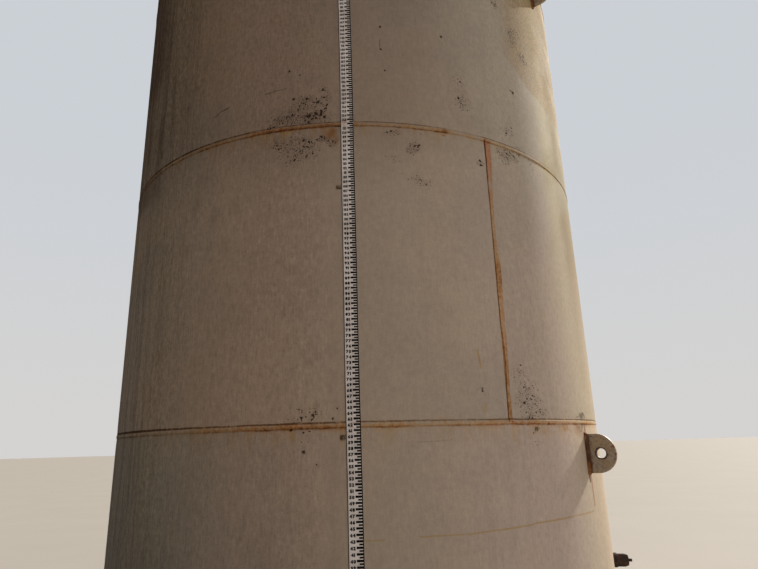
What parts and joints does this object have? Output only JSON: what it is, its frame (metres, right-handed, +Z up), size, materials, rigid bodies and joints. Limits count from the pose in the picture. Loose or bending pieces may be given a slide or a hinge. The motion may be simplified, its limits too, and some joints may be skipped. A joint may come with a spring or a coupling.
{
  "type": "vertical storage tank",
  "caption": "Upright welded steel storage tank with a flat bottom, shallow cone roof, lifting lugs, side outlet and an inch gauge strip up its front.",
  "frame": {"origin": "on the tank's axis, on the underside of the bottom plate", "axes": "+Z up along the tank's axis; -Y faces the side with the gauge strip; +X to its right"},
  "size_m": [3.3212, 3.2502, 6.467],
  "materials": {
    "shell_paint": "weathered satin",
    "roof_paint": "weathered satin",
    "lug_paint": "weathered satin",
    "weld_rust": "rusted through paint",
    "bare_rust": "rough rust",
    "gauge_face": "satin",
    "gasket": "matt"
  },
  "bodies": {
    "root": {"bottom_plate": "shell_paint", "bottom_weld": "weld_rust", "shell_course_1_plate_1": "shell_paint", "shell_course_1_plate_2": "shell_paint", "shell_course_2_plate_1": "shell_paint", "shell_course_2_plate_2": "shell_paint", "shell_course_3_plate_1": "shell_paint", "shell_course_3_plate_2": "shell_paint", "shell_course_4_plate_1": "shell_paint", "shell_course_4_plate_2": "shell_paint", "girth_weld_1": "weld_rust", "girth_weld_2": "weld_rust", "girth_weld_3": "weld_rust", "vertical_weld_1_1": "weld_rust", "vertical_weld_1_2": "weld_rust", "vertical_weld_2_1": "weld_rust", "vertical_weld_2_2": "weld_rust", "vertical_weld_3_1": "weld_rust", "vertical_weld_3_2": "weld_rust", "vertical_weld_4_1": "weld_rust", "vertical_weld_4_2": "weld_rust", "roof_plate_1": "roof_paint", "roof_plate_2": "roof_paint", "roof_plate_3": "roof_paint", "roof_plate_4": "roof_paint", "roof_weld": "weld_rust", "vent_neck": "roof_paint", "vent_hood": "roof_paint", "manway_neck": "roof_paint", "manway_flange": "roof_paint", "manway_gasket": "gasket", "manway_cover": "roof_paint", "lower_lug": "lug_paint", "lower_lug_weld": "weld_rust", "upper_lug": "lug_paint", "upper_lug_weld": "weld_rust", "gauge_strip_lower": "gauge_face", "gauge_strip_upper": "gauge_face", "gauge_clip_1": "bare_rust", "gauge_clip_2": "bare_rust", "gauge_clip_3": "bare_rust", "gauge_clip_4": "bare_rust", "gauge_clip_5": "bare_rust", "outlet_coupling": "bare_rust", "outlet_plug": "bare_rust"}
  },
  "joints": []
}
